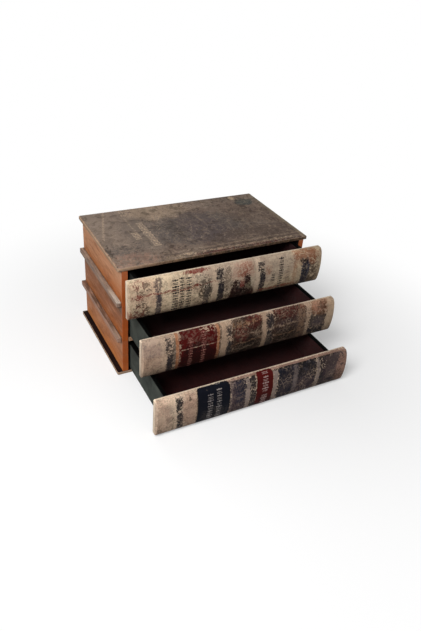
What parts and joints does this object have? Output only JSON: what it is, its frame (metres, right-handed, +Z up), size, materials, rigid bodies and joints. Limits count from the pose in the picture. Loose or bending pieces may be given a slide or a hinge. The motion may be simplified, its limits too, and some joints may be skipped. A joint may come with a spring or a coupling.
{
  "type": "book-shaped drawer box",
  "caption": "Keepsake box in the shape of a stack of old books lying flat, with drawers that slide out at the rounded spines.",
  "frame": {"origin": "centre of the underside of the lowest cover, on the surface that the box stands on", "axes": "+X along the spines to the right seen from the spine side, -Y towards the spine side where the drawers open, +Z up"},
  "size_m": [0.3048, 0.3139, 0.177],
  "materials": {
    "cover_leather": "satin",
    "cover_board": "matte",
    "page_board": "matte",
    "back_board": "matte",
    "shelf_board": "matte",
    "strip_leather": "satin",
    "spine_wood": "matte",
    "bottom_spine_leather": "satin",
    "middle_spine_leather": "satin",
    "top_spine_leather": "satin",
    "box_board": "matte",
    "lining_felt": "matte",
    "screw_steel": "satin"
  },
  "bodies": {
    "carcass": {"top_cover_board": "cover_board", "top_cover_leather": "cover_leather", "bottom_cover_board": "cover_board", "bottom_cover_leather": "cover_leather", "left_page_panel": "page_board", "right_page_panel": "page_board", "back_panel": "back_board", "upper_divider": "shelf_board", "lower_divider": "shelf_board", "left_upper_strip": "strip_leather", "left_lower_strip": "strip_leather", "right_upper_strip": "strip_leather", "right_lower_strip": "strip_leather", "lower_back_screw_1": "screw_steel", "lower_back_screw_2": "screw_steel", "lower_back_screw_3": "screw_steel", "upper_back_screw_1": "screw_steel", "upper_back_screw_2": "screw_steel", "upper_back_screw_3": "screw_steel"},
    "bottom_drawer": {"bottom_spine_core": "spine_wood", "bottom_spine_leather": "bottom_spine_leather", "bottom_box_left_side": "box_board", "bottom_box_right_side": "box_board", "bottom_box_front": "box_board", "bottom_box_back": "box_board", "bottom_box_bottom": "box_board", "bottom_floor_lining": "lining_felt", "bottom_wall_lining": "lining_felt", "bottom_front_screw_1": "screw_steel", "bottom_front_screw_2": "screw_steel"},
    "middle_drawer": {"middle_spine_core": "spine_wood", "middle_spine_leather": "middle_spine_leather", "middle_box_left_side": "box_board", "middle_box_right_side": "box_board", "middle_box_front": "box_board", "middle_box_back": "box_board", "middle_box_bottom": "box_board", "middle_floor_lining": "lining_felt", "middle_wall_lining": "lining_felt", "middle_front_screw_1": "screw_steel", "middle_front_screw_2": "screw_steel"},
    "top_drawer": {"top_spine_core": "spine_wood", "top_spine_leather": "top_spine_leather", "top_box_left_side": "box_board", "top_box_right_side": "box_board", "top_box_front": "box_board", "top_box_back": "box_board", "top_box_bottom": "box_board", "top_floor_lining": "lining_felt", "top_wall_lining": "lining_felt", "top_front_screw_1": "screw_steel", "top_front_screw_2": "screw_steel"}
  },
  "joints": [
    {"name": "bottom_drawer_slide", "type": "slide", "parent": "carcass", "child": "bottom_drawer", "axis": [0, -1, 0], "range_m": [-0.1255, 0.0145]},
    {"name": "middle_drawer_slide", "type": "slide", "parent": "carcass", "child": "middle_drawer", "axis": [0, -1, 0], "range_m": [-0.077, 0.063]},
    {"name": "top_drawer_slide", "type": "slide", "parent": "carcass", "child": "top_drawer", "axis": [0, -1, 0], "range_m": [-0.028, 0.112]}
  ]
}
